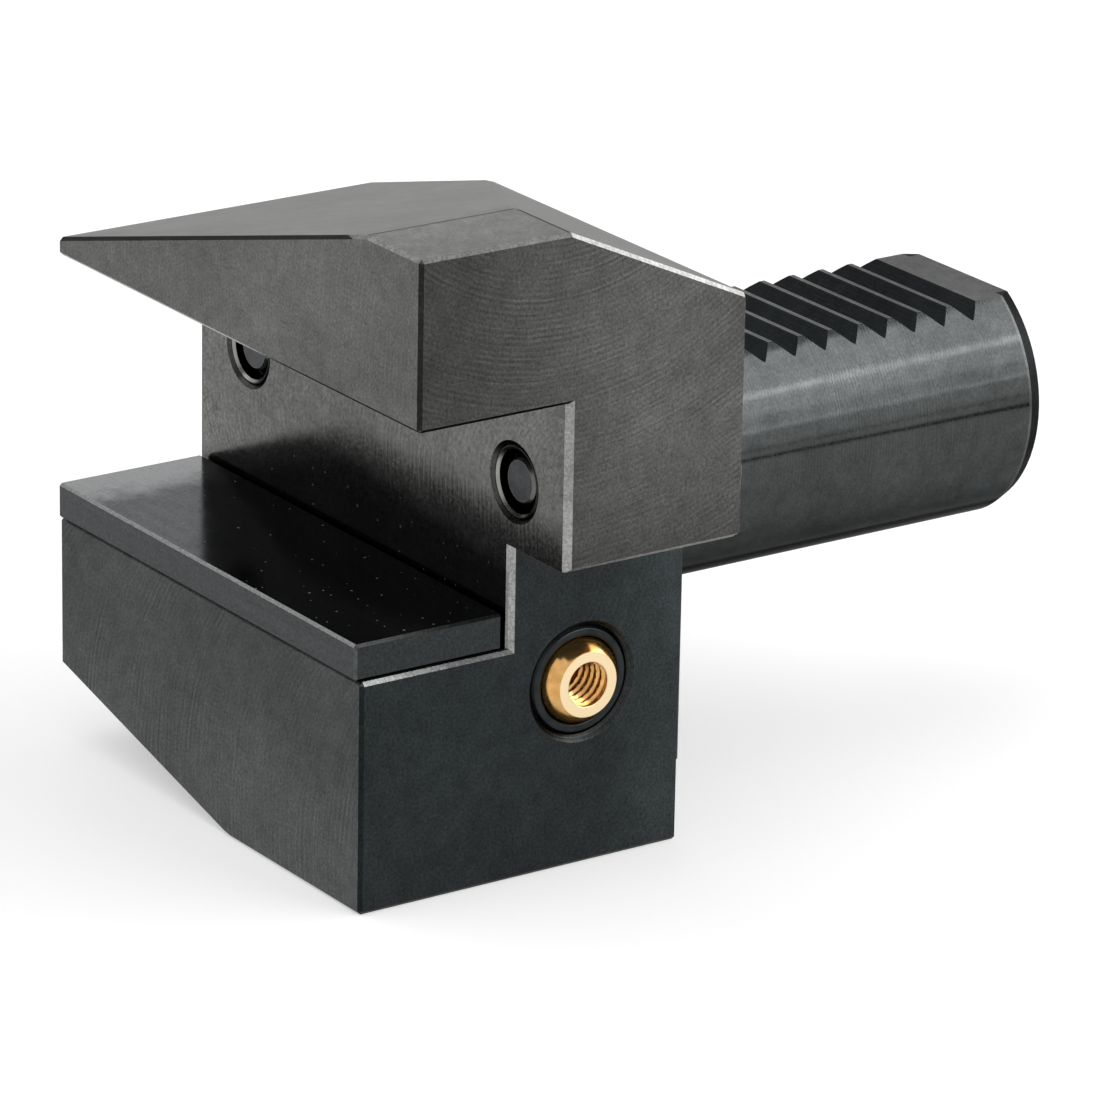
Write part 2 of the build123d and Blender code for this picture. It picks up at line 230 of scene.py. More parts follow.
bodyLooks = {
    "tone": "#454646",
    "roughness": 0.34,
    "grain": 3.2,           # grains per mm, of the oxide
    "grainDepth": 0.34,
    "shankGrainDepth": 0.20,
    "cloud": 0.06,          # large patches per mm
    "cloudDepth": 0.15,
    "mottle": 0.45,         # small patches per mm
    "mottleDepth": 0.16,
    "wander": 0.25,         # bends of the marks per mm
    "paintedFading": 0.10,         # patches per mm in which the marks are strong or weak
    "edgeOn": 0.53,         # share of the mirror's light that is kept, seen almost edge on
    "shankEdgeOn": 0.42,
    # each face: the way it faces (0, 0, 0: any way), its place (axis, from, to in mm), tone, roughness,
    # marks, and how strong they are
    # marks: lines across an axis, rings round a point, or arcs of a cutter's radius and height, moved
    # along X; their last number is the spacing in mm (feed marks of 0.1 to 0.3 mm are drawn wider, to show)
    # the tones below are set face by face to how bright each face looks, so besides the finish they carry
    # painted shade on the dark faces, flanks and edge lines, and painted highlights on the bright bevels
    "faces": {
        "shankRound": ((0, 0, 0), (("y", 0.3, 54.6),), "#434545", 0.11, ("lines", "y", 0.4), 0.10),
        "frontUpper": ((0, -1, 0), (("y", -40.5, -39), ("z", 19, 39)), "#656563", 0.36,
            ("arcs", 60, 22, 0.7), 0.06),
        "frontLower": ((0, -1, 0), (("y", -40.5, -39), ("z", -36, -8)), "#4d4f4e", 0.36,
            ("arcs", 34, -31, 0.8), 0.13),
        "rightUpper": ((1, 0, 0), (("x", 34, 36),), "#5a5a58", 0.36, ("rings", (0, -23, 58), 0.62), 0.15),
        "rightLower": ((1, 0, 0), (("x", 24, 26),), "#2b2f30", 0.40, ("rings", (0, -60, 20), 0.8), 0.05),
        "leftFace": ((-1, 0, 0), (("x", -36, -34),), "#4e5050", 0.36, ("rings", (0, -15, 50), 0.62), 0.15),
        "slotWall": ((0, -1, 0), (("y", -23, -21),), "#676765", 0.19, ("arcs", 15, 5.25, 0.8), 0.10),
        "roof": ((-0.2588, 0, 0.9659), (), "#71716f", 0.36, ("lines", "y", 0.8), 0.04),
        "topFlat": ((0, 0, 1), (("z", 37, 39),), "#696967", 0.36, ("lines", "x", 0.8), 0.04),
        "rearSlope": ((0, 0.4138, 0.9104), (), "#6c6c6a", 0.36, ("lines", "x", 0.8), 0.04),
        "seat": ((0, 0, -1), (("z", 19, 21),), "#2c2e2f", 0.25, ("lines", "x", 0.8), 0.10),
        "underOverhang": ((0, 0, -1), (("z", 1, 3),), "#343637", 0.36, ("lines", "x", 0.7), 0.10),
        "foot": ((0, 0, -1), (("z", -36, -34),), "#3e4040", 0.34, ("lines", "x", 0.7), 0.10),
        "heel": ((-0.2425, 0, -0.9701), (), "#3e4040", 0.36, ("lines", "y", 0.7), 0.10),
        "contactFace": ((0, 1, 0), (("y", -0.2, 0.3),), "#5a5b5a", 0.26, ("rings", (0, 0, 0), 0.5), 0.18),
        "corners": ((0, 1, 0), (("y", -1, -0.25),), "#4a4b4b", 0.36, ("rings", (0, 0, 0), 0.6), 0.12),
        "rackFlat": ((0, 0, 1), (("y", 8, 55), ("z", 11.8, 12.2)), "#5a5b5a", 0.30, ("lines", "y", 0.5),
            0.08),
        "loadFlanks": ((0, -0.7071, 0.7071), (("y", 9, 55), ("z", 10.3, 12.1)), "#1e2021", 0.36,
            ("lines", "z", 0.4), 0.12),
        "backFlanks": ((0, 0.6691, 0.7431), (("y", 9, 55), ("z", 10.3, 12.1)), "#454646", 0.34,
            ("lines", "z", 0.4), 0.10),
        "shankEnd": ((0, 1, 0), (("y", 54.6, 56),), "#4a4b4a", 0.34, ("rings", (0, 0, 0), 0.5), 0.16),
        # bevels: the bright ones carry painted highlights, the dark ones painted shade
        "shankEndBevel": ((0, 0, 0), (("y", 53.5, 54.97), ("shank", 14.3, 15.05)), "#2c2e2e", 0.30,
            ("lines", "y", 0.3), 0.05),
        "shankEndEdge": ((0, 0, 0), (("y", 53.2, 53.5), ("shank", 14.6, 15.05)), "#555757", 0.22,
            ("lines", "y", 0.3), 0.05),
        "frontCornerUpper": ((0.7071, -0.7071, 0), (("y", -41, -39), ("z", 19, 39)), "#262727", 0.34,
            ("lines", "z", 0.7), 0.05),
        "frontCornerLower": ((0.7071, -0.7071, 0), (("y", -41, -39), ("z", -36, -9)), "#1f2222", 0.34,
            ("lines", "z", 0.7), 0.05),
        "roofFrontBevel": ((-0.183, -0.7071, 0.683), (("y", -41, -39), ("z", 19, 37.7)), "#2a2b2b", 0.34,
            ("lines", "x", 0.7), 0.05),
        "flatFrontBevel": ((0, -0.7071, 0.7071), (("y", -41, -39), ("z", 37, 39)), "#7a7a78", 0.34,
            ("lines", "x", 0.7), 0.05),
        "jawFrontBevel": ((0, -0.7071, 0.7071), (("y", -41, -39), ("z", -10.5, -9)), "#4f5150", 0.34,
            ("lines", "x", 0.7), 0.08),
        "flatRightBevel": ((0.7071, 0, 0.7071), (("x", 34, 36), ("z", 37, 39)), "#60605e", 0.34,
            ("lines", "y", 0.7), 0.05),
        "slopeRightBevel": ((0.6756, 0.2900, 0.6756), (("x", 34, 36), ("y", -21.9, 0.5)), "#8a8a88", 0.30,
            ("lines", "y", 0.7), 0.05),
        "jawRightBevel": ((0.7071, 0, 0.7071), (("x", 24, 26), ("z", -10.5, -9)), "#9c9e9d", 0.34,
            ("lines", "y", 0.7), 0.15),
        "wallBevels": ((0.7071, -0.7071, 0), (("y", -23, -21.2), ("x", 24.2, 35.1)), "#8f8f8d", 0.32,
            ("lines", "z", 0.6), 0.04),
        "seatFrontBevel": ((0, -0.7071, -0.7071), (("y", -41, -39), ("z", 19, 21)), "#b0b0ae", 0.20,
            ("lines", "x", 0.7), 0.05),
        "seatRightBevel": ((0.7071, 0, -0.7071), (("x", 34, 36), ("z", 19, 21)), "#121313", 0.34,
            ("lines", "y", 0.7), 0.05),
        "underBevel": ((0.7071, 0, -0.7071), (("x", 34, 36), ("z", 1, 3)), "#8b8b89", 0.34,
            ("lines", "y", 0.7), 0.10),
        "plugBevels": ((0, 0, 0), (("y", -21.98, -21.2), ("z", 3, 15), ("plug", 3.95, 4.75)), "#40403f",
            0.30, ("lines", "y", 0.3), 0.05),
        "socketBevel": ((0, 0, 0), (("nozzle", 5.95, 6.75), ("x", 20, 24.97)), "#2f3233", 0.28,
            ("rings", (0, -12.7, -14.7), 0.3), 0.20),
        "ridgeRightEnd": ((0, 0, 0), (("y", -22.25, -21.75), ("z", 37.75, 38.1), ("x", 25, 34.6)),
            "#2b2c2c", 0.34, ("lines", "x", 0.7), 0.05),
        "ridge": ((0, 0, 0), (("x", 24.75, 25.2), ("z", 37.7, 38.1), ("y", -39.6, -22)), "#333434", 0.34,
            ("lines", "y", 0.7), 0.05),
    },
    # faces whose tone changes along an axis, as painted shade and light that follow how bright each looks:
    # the way each faces, its place, the axis, from, to, and the share of the tone at each
    "paintedShadeFades": {
        "rightUpperFront": ((1, 0, 0), (("x", 34, 36),), "y", -40, -9, 0.50, 1.0),
        "rightUpperLow": ((1, 0, 0), (("x", 34, 36),), "z", 0, 18, 0.62, 1.0),
        "rightLowerRear": ((1, 0, 0), (("x", 24, 26),), "y", -12, 0, 1.0, 1.5),
        "frontLowerFoot": ((0, -1, 0), (("y", -40.5, -39), ("z", -36, -8)), "z", -35, -14, 1.42, 1.0),
        "wallLeft": ((0, -1, 0), (("y", -23, -21),), "x", -35, -18, 1.16, 1.0),
    },
    # painted shade on the slot wall: dark up to an edge that rises from the left end and falls again past
    # its peak
    "wallShadeAndDust": {"left": -35, "leftHeight": -5.2, "rise": 0.42, "peak": 3.4, "peakAt": -4, "fall": 0.12,
            "edge": 1.6, "wobble": 5.0, "share": 0.52, "dustTone": "#5c5e5e"},
}

# dust: specks with this spacing and radius in mm, and this share of the places taken
dust = {"spacing": 2.1, "radius": 0.15, "taken": 0.32}


def dustSpecks(tree, flatPoint):
    # 1 inside a speck, 0 elsewhere; flatPoint is a place on the surface in mm, and specks differ in size
    cells = addNode(tree, "TexVoronoi", {
        "Vector": flatPoint, "Scale": 1 / dust["spacing"]}, voronoi_dimensions="2D").outputs
    numbers = addNode(tree, "SeparateColor", {0: cells["Color"]}).outputs
    taken = addNode(tree, "Math", {0: numbers["Red"], 1: dust["taken"]}, operation="LESS_THAN")
    reach = addNode(tree, "MapRange", {
        "Value": numbers["Green"], "To Min": 0.3 * dust["radius"] / dust["spacing"],
        "To Max": dust["radius"] / dust["spacing"]})
    near = addNode(tree, "Math", {0: cells["Distance"], 1: reach}, operation="LESS_THAN")
    return addNode(tree, "Math", {0: taken, 1: near}, operation="MULTIPLY")


def distanceFrom(tree, point, centre, across):
    # distance from a line through the centre; across has a 1 for each of the two axes square to that line
    offset = addNode(tree, "VectorMath", {0: point, 1: centre}, operation="SUBTRACT")
    inPlane = addNode(tree, "VectorMath", {0: offset, 1: across}, operation="MULTIPLY")
    return addNode(tree, "VectorMath", {0: inPlane}, operation="LENGTH")


def placeMask(tree, place, axes, direction, limits):
    # 1 where the surface faces this way (0, 0, 0: any way) and lies within the limits, 0 elsewhere
    mask = facesWay(tree, place, direction) if any(direction) else 1.0
    for axis, low, high in limits:
        inside = addNode(tree, "Math", {
            0: axes[axis], 1: (low + high) / 2, 2: (high - low) / 2}, operation="COMPARE")
        mask = addNode(tree, "Math", {0: mask, 1: inside}, operation="MULTIPLY")
    return mask


bodySteel, tree, shader = newMaterial("milledBlackenedSteel", {"Metallic": 1.0})
place, point = placeOn(tree)
parts = addNode(tree, "SeparateXYZ", {0: point}).outputs
mirrored = addNode(tree, "VectorMath", {0: point}, operation="ABSOLUTE")   # the plugs lie left and right
axes = {
    "x": parts["X"],
    "y": parts["Y"],
    "z": parts["Z"],
    "nozzle": distanceFrom(tree, point, nozzleCentre, (0, 1, 1)),
    "shank": distanceFrom(tree, point, (0, 0, 0), (1, 0, 1)),
    "plug": distanceFrom(tree, mirrored, plugMouth, (1, 0, 1)),
}

tone, rough, along, depth = linearColour(bodyLooks["tone"]), bodyLooks["roughness"], axes["x"], 0.05
# each face's tone, partly its finish and partly painted shade or highlight, goes where its mask is 1
for direction, limits, faceToneAndPaintedLight, faceRoughness, marks, markDepth in bodyLooks["faces"].values():
    mask = placeMask(tree, place, axes, direction, limits)
    tone = addNode(tree, "Mix", {0: mask, 6: tone, 7: linearColour(faceToneAndPaintedLight)}, data_type="RGBA")
    rough = addNode(tree, "Mix", {0: mask, 2: rough, 3: faceRoughness})
    depth = addNode(tree, "Mix", {0: mask, 2: depth, 3: markDepth})
    # how far across the marks this point lies, in spacings
    if marks[0] == "lines":
        across = axes[marks[1]]
    elif marks[0] == "rings":
        square = (1, 0, 1) if abs(direction[1]) > 0.9 else (0, 1, 1)
        across = distanceFrom(tree, point, marks[1], square)
    else:
        # x plus the root of cutter radius squared less height squared: one arc, moved along by the feed
        height = addNode(tree, "Math", {0: axes["z"], 1: marks[2]}, operation="SUBTRACT")
        squared = addNode(tree, "Math", {0: height, 1: height}, operation="MULTIPLY")
        rest = addNode(tree, "Math", {0: marks[1] ** 2, 1: squared}, operation="SUBTRACT")
        kept = addNode(tree, "Math", {0: rest, 1: 0.0}, operation="MAXIMUM")
        bow = addNode(tree, "Math", {0: kept}, operation="SQRT")
        across = addNode(tree, "Math", {0: axes["x"], 1: bow}, operation="ADD")
    spaced = addNode(tree, "Math", {0: across, 1: marks[-1]}, operation="DIVIDE")
    along = addNode(tree, "Mix", {0: mask, 2: along, 3: spaced})

# painted shade and light along an axis on some faces
for direction, limits, axis, start, end, first, last in bodyLooks["paintedShadeFades"].values():
    mask = placeMask(tree, place, axes, direction, limits)
    paintedFading = addNode(tree, "MapRange", {
        "Value": axes[axis], "From Min": start, "From Max": end, "To Min": first, "To Max": last},
        interpolation_type="SMOOTHSTEP")
    share = addNode(tree, "Mix", {0: mask, 2: 1.0, 3: paintedFading})
    tone = addNode(tree, "VectorMath", {0: tone, "Scale": share}, operation="SCALE")

# slot wall: painted shade, with its edge's height = the lower of a rising line and a falling one, and dust
# in it
wallShadeAndDust = bodyLooks["wallShadeAndDust"]
mottle = addNode(tree, "TexNoise", {
    "Vector": point, "Scale": bodyLooks["mottle"], "Detail": 4.0, "Roughness": 0.65})
rising = addNode(tree, "MapRange", {
    "Value": axes["x"], "From Min": wallShadeAndDust["left"], "From Max": wallShadeAndDust["left"] + 100, "To Min": wallShadeAndDust["leftHeight"],
    "To Max": wallShadeAndDust["leftHeight"] + 100 * wallShadeAndDust["rise"]})
falling = addNode(tree, "MapRange", {
    "Value": axes["x"], "From Min": wallShadeAndDust["peakAt"], "From Max": wallShadeAndDust["peakAt"] + 100, "To Min": wallShadeAndDust["peak"],
    "To Max": wallShadeAndDust["peak"] - 100 * wallShadeAndDust["fall"]})
edge = addNode(tree, "Math", {0: rising, 1: falling}, operation="MINIMUM")
wobble = addNode(tree, "MapRange", {
    "Value": mottle, "To Min": -wallShadeAndDust["wobble"] / 2, "To Max": wallShadeAndDust["wobble"] / 2})
edge = addNode(tree, "Math", {0: edge, 1: wobble}, operation="ADD")
above = addNode(tree, "Math", {0: axes["z"], 1: edge}, operation="SUBTRACT")
outsideShade = addNode(tree, "MapRange", {
    "Value": above, "From Min": -wallShadeAndDust["edge"], "From Max": 0}, interpolation_type="SMOOTHSTEP")
wallPlace = addNode(tree, "Math", {0: axes["y"], 1: slotWall, 2: 0.2}, operation="COMPARE")
wallTurned = addNode(tree, "VectorMath", {0: place["Normal"], 1: (0, -1, 0)}, operation="DOT_PRODUCT")
onWall = addNode(tree, "Math", {0: wallPlace, 1: wallTurned}, operation="MULTIPLY", use_clamp=True)
paintedWallShade = addNode(tree, "Math", {0: 1.0, 1: outsideShade}, operation="SUBTRACT")
paintedWallShade = addNode(tree, "Math", {0: paintedWallShade, 1: onWall}, operation="MULTIPLY")
paintedShadeShare = addNode(tree, "MapRange", {"Value": paintedWallShade, "To Min": 1.0, "To Max": wallShadeAndDust["share"]})
tone = addNode(tree, "VectorMath", {0: tone, "Scale": paintedShadeShare}, operation="SCALE")
wallPoint = addNode(tree, "CombineXYZ", {0: axes["x"], 1: axes["z"]})
wallDust = addNode(tree, "Math", {0: dustSpecks(tree, wallPoint), 1: paintedWallShade}, operation="MULTIPLY")

# cutter marks, oxide grain and patches, all as small changes of the same tone:
# a wave of one turn per spacing, uneven through a slow noise, with a finer noise along the same way
wander = addNode(tree, "TexNoise", {"Vector": point, "Scale": bodyLooks["wander"], "Detail": 1.0})
bent = addNode(tree, "Math", {0: wander, 1: 1.2, 2: along}, operation="MULTIPLY_ADD")
turns = addNode(tree, "Math", {0: bent, 1: tau}, operation="MULTIPLY")
wave = addNode(tree, "Math", {0: turns}, operation="SINE")
scratch = addNode(tree, "TexNoise", {
    "W": along, "Scale": 2.3, "Detail": 2.0, "Roughness": 0.6}, noise_dimensions="1D")
scratchSigned = addNode(tree, "MapRange", {
    "Value": scratch, "From Min": 0.25, "From Max": 0.75, "To Min": -0.9, "To Max": 0.9})
cuts = addNode(tree, "Math", {0: wave, 1: 0.55, 2: scratchSigned}, operation="MULTIPLY_ADD")
fade = addNode(tree, "TexNoise", {"Vector": point, "Scale": bodyLooks["paintedFading"], "Detail": 2.0})
cutFade = addNode(tree, "MapRange", {
    "Value": fade, "From Min": 0.35, "From Max": 0.65, "To Min": 0.15, "To Max": 1.5})
cutDepth = addNode(tree, "Math", {0: depth, 1: cutFade}, operation="MULTIPLY")
cutTone = addNode(tree, "Math", {0: cuts, 1: cutDepth, 2: 1.0}, operation="MULTIPLY_ADD")
grain = addNode(tree, "TexNoise", {
    "Vector": point, "Scale": bodyLooks["grain"], "Detail": 2.0, "Roughness": 0.7})
cloud = addNode(tree, "TexNoise", {"Vector": point, "Scale": bodyLooks["cloud"], "Detail": 4.0})
onShank = addNode(tree, "Math", {0: axes["y"], 1: 0.3}, operation="GREATER_THAN")
grainDepth = addNode(tree, "Mix", {0: onShank, 2: bodyLooks["grainDepth"], 3: bodyLooks["shankGrainDepth"]})
grainSigned = addNode(tree, "MapRange", {
    "Value": grain, "From Min": 0.3, "From Max": 0.7, "To Min": -1, "To Max": 1})
grainTone = addNode(tree, "Math", {0: grainSigned, 1: grainDepth, 2: 1.0}, operation="MULTIPLY_ADD")
mottleTone = addNode(tree, "MapRange", {
    "Value": mottle, "From Min": 0.3, "From Max": 0.7, "To Min": 1 - bodyLooks["mottleDepth"],
    "To Max": 1 + bodyLooks["mottleDepth"]})
cloudTone = addNode(tree, "MapRange", {
    "Value": cloud, "From Min": 0.3, "From Max": 0.7, "To Min": 1 - bodyLooks["cloudDepth"],
    "To Max": 1 + bodyLooks["cloudDepth"]})
varied = addNode(tree, "Math", {0: cutTone, 1: grainTone}, operation="MULTIPLY")
varied = addNode(tree, "Math", {0: varied, 1: cloudTone}, operation="MULTIPLY")
varied = addNode(tree, "Math", {0: varied, 1: mottleTone}, operation="MULTIPLY")
tone = addNode(tree, "VectorMath", {0: tone, "Scale": varied}, operation="SCALE")
tone = addNode(tree, "Mix", {0: wallDust, 6: tone, 7: linearColour(wallShadeAndDust["dustTone"])}, data_type="RGBA")
metal = addNode(tree, "Math", {0: 1.0, 1: wallDust}, operation="SUBTRACT")
# seen almost edge on, the shank's fine grinding stays darker than the milled faces
edgeOn, shankEdgeOn = (tuple([bodyLooks[k]] * 3) + (1,) for k in ("edgeOn", "shankEdgeOn"))
edgeOn = addNode(tree, "Mix", {0: onShank, 6: edgeOn, 7: shankEdgeOn}, data_type="RGBA")
roughVaried = addNode(tree, "MapRange", {
    "Value": grain, "From Min": 0.3, "From Max": 0.7, "To Min": -0.03, "To Max": 0.03})
rough = addNode(tree, "Math", {0: rough, 1: roughVaried}, operation="ADD")
cutHeight = addNode(tree, "Math", {0: cuts, 1: cutDepth}, operation="MULTIPLY")
relief = addNode(tree, "Bump", {"Strength": 0.25, "Distance": 0.00006, "Height": cutHeight})
setInputs(tree, shader, {"Base Color": tone, "Metallic": metal, "Specular Tint": edgeOn, "Roughness": rough,
                         "Normal": relief})

nodes["body"].data.materials.clear()
nodes["body"].data.materials.append(bodySteel)
print("body finished")


# clamp plate: hardened steel, ground and blackened
# Almost black and near to a mirror on top; its long sides show grinding lines.

plateLooks = {
    "tone": "#3c3e3f",
    "roughness": 0.30,
    "lineSpacing": 0.5,     # mm, drawn wider than the 0.05 mm of real grinding lines, to show
    "lineDepth": 0.14,
    "grainDepth": 0.30,
    "dustTone": "#77797a",
    "smudge": 0.30,         # smears per mm on the polished top
    "shineEnd": (-31, -24), # mm along X, where the clean end of the top goes over into an oily film
    "shine": 0.8,           # share of the mirror's light that the clean metal keeps, seen low
    "oilyShine": 0.54,
    # each face or bevel: the way it faces, tone, roughness
    # the tones are set to how bright each looks: painted shade on the low bevels, a painted highlight on the
    # front top bevel
    "faces": {
        "front": ((0, -1, 0), "#424445", 0.34),
        "top": ((0, 0, 1), "#363839", 0.14),
        "end": ((1, 0, 0), "#323536", 0.34),
        "frontTopBevel": ((0, -0.7071, 0.7071), "#7b7d7c", 0.30),
        "cornerBevel": ((0.7071, -0.7071, 0), "#4c4e4e", 0.30),
        "endTopBevel": ((0.7071, 0, 0.7071), "#4a4c4c", 0.30),
        "frontLowBevel": ((0, -0.7071, -0.7071), "#1d1f1f", 0.34),
        "endLowBevel": ((0.7071, 0, -0.7071), "#1d1f1f", 0.34),
    },
}

plateSteel, tree, shader = newMaterial("groundBlackenedSteel", {})
place, point = placeOn(tree)
tone, rough = linearColour(plateLooks["tone"]), plateLooks["roughness"]
# each face's tone, with the painted shade or highlight it carries
for direction, faceToneAndPaintedLight, faceRoughness in plateLooks["faces"].values():
    mask = facesWay(tree, place, direction)
    tone = addNode(tree, "Mix", {0: mask, 6: tone, 7: linearColour(faceToneAndPaintedLight)}, data_type="RGBA")
    rough = addNode(tree, "Mix", {0: mask, 2: rough, 3: faceRoughness})
stretched = addNode(tree, "Mapping", {
    "Vector": point, "Scale": (0.02, 1 / plateLooks["lineSpacing"], 1 / plateLooks["lineSpacing"])})
lines = addNode(tree, "TexNoise", {"Vector": stretched, "Scale": 1.0, "Detail": 3.0})
lineTone = addNode(tree, "MapRange", {
    "Value": lines, "From Min": 0.25, "From Max": 0.75, "To Min": 1 - plateLooks["lineDepth"],
    "To Max": 1 + plateLooks["lineDepth"]})
grain = addNode(tree, "TexNoise", {"Vector": point, "Scale": 3.2, "Detail": 2.0, "Roughness": 0.7})
grainTone = addNode(tree, "MapRange", {
    "Value": grain, "From Min": 0.3, "From Max": 0.7, "To Min": 1 - plateLooks["grainDepth"],
    "To Max": 1 + plateLooks["grainDepth"]})
varied = addNode(tree, "Math", {0: lineTone, 1: grainTone}, operation="MULTIPLY")
tone = addNode(tree, "VectorMath", {0: tone, "Scale": varied}, operation="SCALE")
# the top carries dust, which isn't metal, and smears that dull its shine
onTop = facesWay(tree, place, (0, 0, 1))
specks = addNode(tree, "Math", {0: dustSpecks(tree, point), 1: onTop}, operation="MULTIPLY")
tone = addNode(tree, "Mix", {0: specks, 6: tone, 7: linearColour(plateLooks["dustTone"])}, data_type="RGBA")
metal = addNode(tree, "Math", {0: 1.0, 1: specks}, operation="SUBTRACT")
smear = addNode(tree, "TexNoise", {
    "Vector": point, "Scale": plateLooks["smudge"], "Detail": 5.0, "Roughness": 0.7})
dull = addNode(tree, "MapRange", {
    "Value": smear, "From Min": 0.5, "From Max": 0.75, "To Min": 0, "To Max": 0.08})
ends = addNode(tree, "SeparateXYZ", {0: point})
ragged = addNode(tree, "Math", {0: smear, 1: 8.0, 2: ends.outputs["X"]}, operation="MULTIPLY_ADD")
ragged = addNode(tree, "Math", {0: ragged, 1: 4.0}, operation="SUBTRACT")
oily = addNode(tree, "MapRange", {
    "Value": ragged, "From Min": plateLooks["shineEnd"][0], "From Max": plateLooks["shineEnd"][1]},
    interpolation_type="SMOOTHSTEP")
oily = addNode(tree, "Math", {0: oily, 1: onTop}, operation="MULTIPLY")
shine, oilyShine = (tuple([plateLooks[k]] * 3) + (1,) for k in ("shine", "oilyShine"))
shine = addNode(tree, "Mix", {0: oily, 6: shine, 7: oilyShine}, data_type="RGBA")
dull = addNode(tree, "Math", {0: dull, 1: onTop}, operation="MULTIPLY")
rough = addNode(tree, "Math", {0: dull, 1: rough}, operation="ADD")
rough = addNode(tree, "Math", {0: specks, 1: 0.4, 2: rough}, operation="MULTIPLY_ADD")
relief = addNode(tree, "Bump", {"Strength": 0.15, "Distance": 0.00002, "Height": lines})
setInputs(tree, shader, {"Base Color": tone, "Metallic": metal, "Specular Tint": shine, "Roughness": rough,
                         "Normal": relief})
nodes["clamp_plate"].data.materials.clear()
nodes["clamp_plate"].data.materials.append(plateSteel)
print("clamp plate finished")


# turned metals for the small pieces: rings of tool marks round each piece's own axis, from its UV map,
# where U runs round the piece and V along its profile, in mm

def turnedMetal(name, toneHex, darkHex, bareAndHighlightHex, roughness, markSpacing, markDepth, tint):
    # the last tone goes where the piece's own attribute is 1: edges that have lost their finish, and
    # painted highlights on the brass ball's flat face and the plugs' bevels
    material, tree, shader = newMaterial(name, {"Metallic": 1.0, "Specular Tint": (*tint, 1)})
    place, point = placeOn(tree)
    alongProfile = addNode(tree, "SeparateXYZ", {0: place["UV"]})
    spaced = addNode(tree, "Math", {0: alongProfile.outputs["Y"], 1: 1 / markSpacing}, operation="MULTIPLY")
    marks = addNode(tree, "TexNoise", {"W": spaced, "Scale": 1.0, "Detail": 2.0}, noise_dimensions="1D")
    stain = addNode(tree, "TexNoise", {"Vector": point, "Scale": 0.5, "Detail": 4.0})
    stained = addNode(tree, "MapRange", {"Value": stain, "From Min": 0.4, "From Max": 0.7})
    tone = addNode(tree, "Mix", {
        0: stained, 6: linearColour(toneHex), 7: linearColour(darkHex)}, data_type="RGBA")
    bareAndHighlight = addNode(tree, "Attribute", attribute_name="bareAndHighlight")
    tone = addNode(tree, "Mix", {
        0: bareAndHighlight.outputs["Fac"], 6: tone, 7: linearColour(bareAndHighlightHex)}, data_type="RGBA")
    markTone = addNode(tree, "MapRange", {
        "Value": marks, "From Min": 0.25, "From Max": 0.75, "To Min": 1 - markDepth,
        "To Max": 1 + markDepth})
    tone = addNode(tree, "VectorMath", {0: tone, "Scale": markTone}, operation="SCALE")
    rough = addNode(tree, "MapRange", {
        "Value": stain, "From Min": 0.3, "From Max": 0.7, "To Min": roughness - 0.05,
        "To Max": roughness + 0.07})
    relief = addNode(tree, "Bump", {"Strength": 0.25, "Distance": 0.00003, "Height": marks})
    setInputs(tree, shader, {"Base Color": tone, "Roughness": rough, "Normal": relief})
    return material


# free-machining brass, turned and polished: yellow-gold, bright, with fine rings
# its last tone, pale cream, is a painted highlight on the ball's flat front face
turnedBrass = turnedMetal("turnedBrass", "#deb071", "#c08a48", "#eed7ad", 0.16, 0.25, 0.05, (1, 0.84, 0.60))
# steel ring, turned and black oxide finished: dark satin grey
blackRingSteel = turnedMetal("blackOxideRing", "#2e3132", "#232627", "#6c6e6e", 0.28, 0.3, 0.14,
                             (0.6, 0.6, 0.6))
# high-tensile screw steel, rolled thread, black oxide and oil: near black, slightly glossy
blackScrewSteel = turnedMetal("blackOxideScrew", "#3f4142", "#2d2f30", "#8a8a88", 0.28, 0.3, 0.10,
                              (0.6, 0.6, 0.6))
# plug sleeve, blackened with the body, and its core, which is driven in later and stays grey; both have
# lighter bevels, bare edges that also carry painted highlights
plugSteel = turnedMetal("blackenedSleeveSteel", "#2a2b2c", "#212223", "#8c8c88", 0.24, 0.3, 0.10,
                        (0.5, 0.5, 0.5))
coreSteel = turnedMetal("turnedCoreSteel", "#4d4e4f", "#414243", "#626260", 0.28, 0.3, 0.14,
                        (0.6, 0.6, 0.6))

# nitrile rubber, moulded: soft black, no metal, dull shine
rubber, tree, shader = newMaterial("mouldedNitrile", {"Specular IOR Level": 0.4})
place, point = placeOn(tree)
bloom = addNode(tree, "TexNoise", {"Vector": point, "Scale": 0.6, "Detail": 4.0})
tone = addNode(tree, "Mix", {
    0: bloom, 6: linearColour("#1b1b1c"), 7: linearColour("#2b2b2c")}, data_type="RGBA")
rough = addNode(tree, "MapRange", {
    "Value": bloom, "From Min": 0.3, "From Max": 0.7, "To Min": 0.42, "To Max": 0.6})
setInputs(tree, shader, {"Base Color": tone, "Roughness": rough})
print("small materials made")


